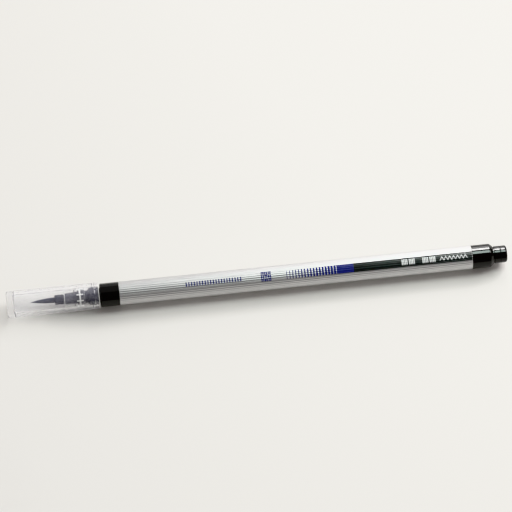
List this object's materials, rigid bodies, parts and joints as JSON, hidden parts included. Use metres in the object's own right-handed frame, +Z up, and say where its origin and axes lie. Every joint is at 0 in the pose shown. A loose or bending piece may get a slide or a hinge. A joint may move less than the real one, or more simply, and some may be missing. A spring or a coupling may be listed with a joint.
{
  "type": "brush pen",
  "caption": "Slim capped brush pen: clear cap over a flexible bristle point, black collar and tail, finely fluted silver barrel with a fibre ink reservoir inside.",
  "frame": {"origin": "on the surface that the pen lies on, under the middle of its length", "axes": "+X along the pen towards the tail knob, with the cap and the brush point towards -X; +Z up"},
  "size_m": [0.1662, 0.0088, 0.0089],
  "materials": {
    "clear_plastic": "clear moulded plastic, slightly milky",
    "seal_plastic": "soft translucent natural plastic",
    "black_plastic": "gloss black moulded plastic",
    "silver_barrel": "satin silver with fine lengthwise flutes and printed stripe",
    "bristle": "ink-stained synthetic bristles",
    "white_plastic": "natural moulded plastic",
    "ink_fibre": "bonded fibre soaked in black ink",
    "film": "thin clear film"
  },
  "bodies": {
    "pen": {"brush_root": "bristle", "brush_retainer": "white_plastic", "brush_ferrule": "black_plastic", "front_section": "black_plastic", "relay_core_holder": "white_plastic", "relay_core": "ink_fibre", "collar_ring": "black_plastic", "barrel_tube": "silver_barrel", "ink_reservoir_core": "ink_fibre", "reservoir_film": "film", "breather_tube": "white_plastic", "tail_band": "black_plastic", "end_plug": "black_plastic"},
    "cap": {"cap_shell": "clear_plastic", "cap_seal_sleeve": "seal_plastic"},
    "brush": {"brush_tuft": "bristle"}
  },
  "joints": [
    {"name": "cap_pull", "type": "slide", "parent": "pen", "child": "cap", "axis": [-1, 0, 0], "range_m": [0, 0.045]},
    {"name": "brush_flex", "type": "hinge", "parent": "pen", "child": "brush", "pos_m": [-0.06735, 0, 0.00445], "axis": [0, 1, 0], "range_deg": [-17, 17], "stiffness_Nm_per_rad": 0.0005}
  ]
}
